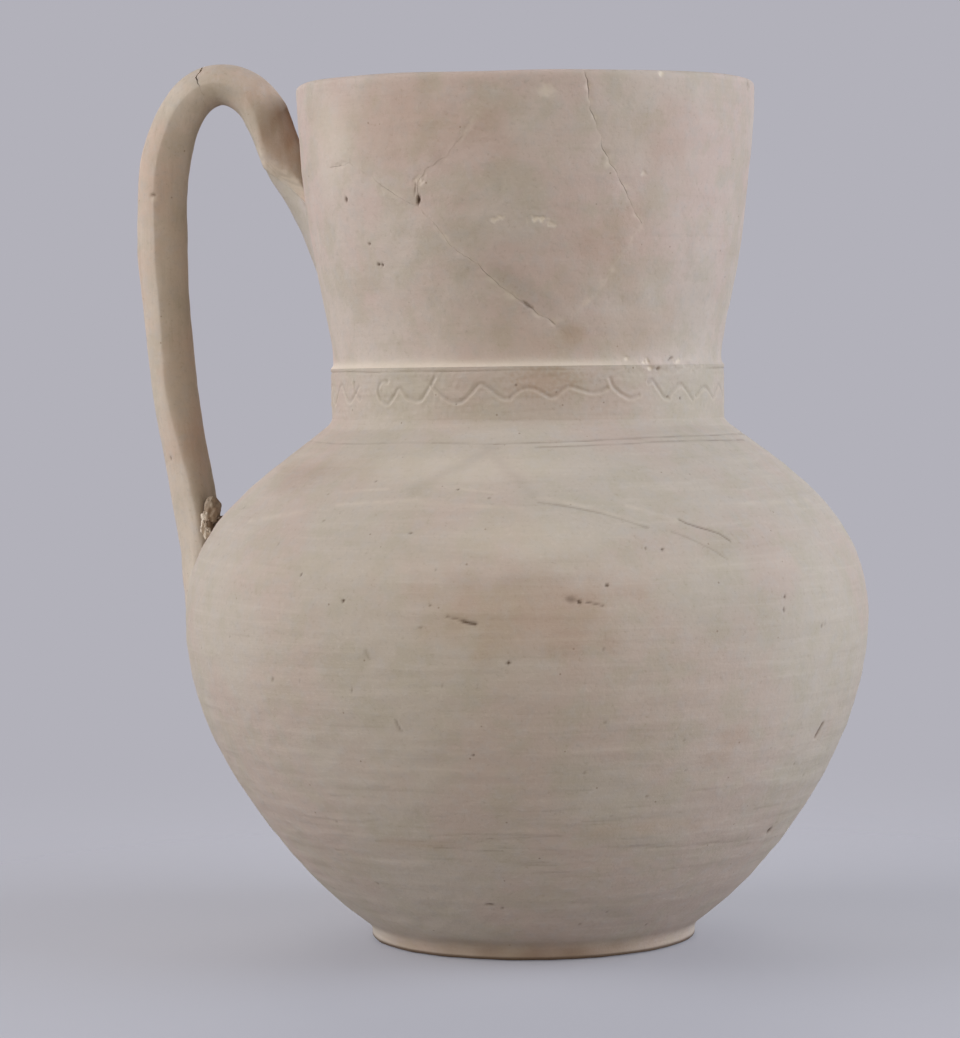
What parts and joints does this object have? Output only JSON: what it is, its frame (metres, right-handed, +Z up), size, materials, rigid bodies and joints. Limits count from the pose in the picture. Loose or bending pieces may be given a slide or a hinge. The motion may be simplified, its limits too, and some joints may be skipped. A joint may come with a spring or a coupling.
{
  "type": "ewer",
  "caption": "Unglazed earthenware ewer with a round belly, a banded collar with a wavy incised line, a tall flared neck mended from sherds and a high arched handle.",
  "frame": {"origin": "middle of the flat base, on the surface that the ewer stands on", "axes": "+Z up along the vessel's axis, -X towards the handle, which lies in the XZ plane"},
  "size_m": [0.238, 0.2172, 0.2799],
  "materials": {
    "body_clay": "matte unglazed buff earthenware with throwing lines and small pits",
    "neck_clay": "matte unglazed buff to pinkish earthenware with mended breaks",
    "handle_clay": "matte unglazed buff earthenware, smoothed by hand",
    "wad_clay": "rough matte brown earthenware with a pale chip"
  },
  "bodies": {
    "root": {"belly": "body_clay", "collar": "body_clay", "neck_sherd_front": "neck_clay", "neck_sherd_upper_left": "neck_clay", "neck_sherd_lower_left": "neck_clay", "neck_sherd_right": "neck_clay", "neck_sherd_back": "neck_clay", "handle_long_limb": "handle_clay", "handle_short_limb": "handle_clay", "handle_root_web": "handle_clay", "handle_foot_wad": "wad_clay"}
  },
  "joints": []
}
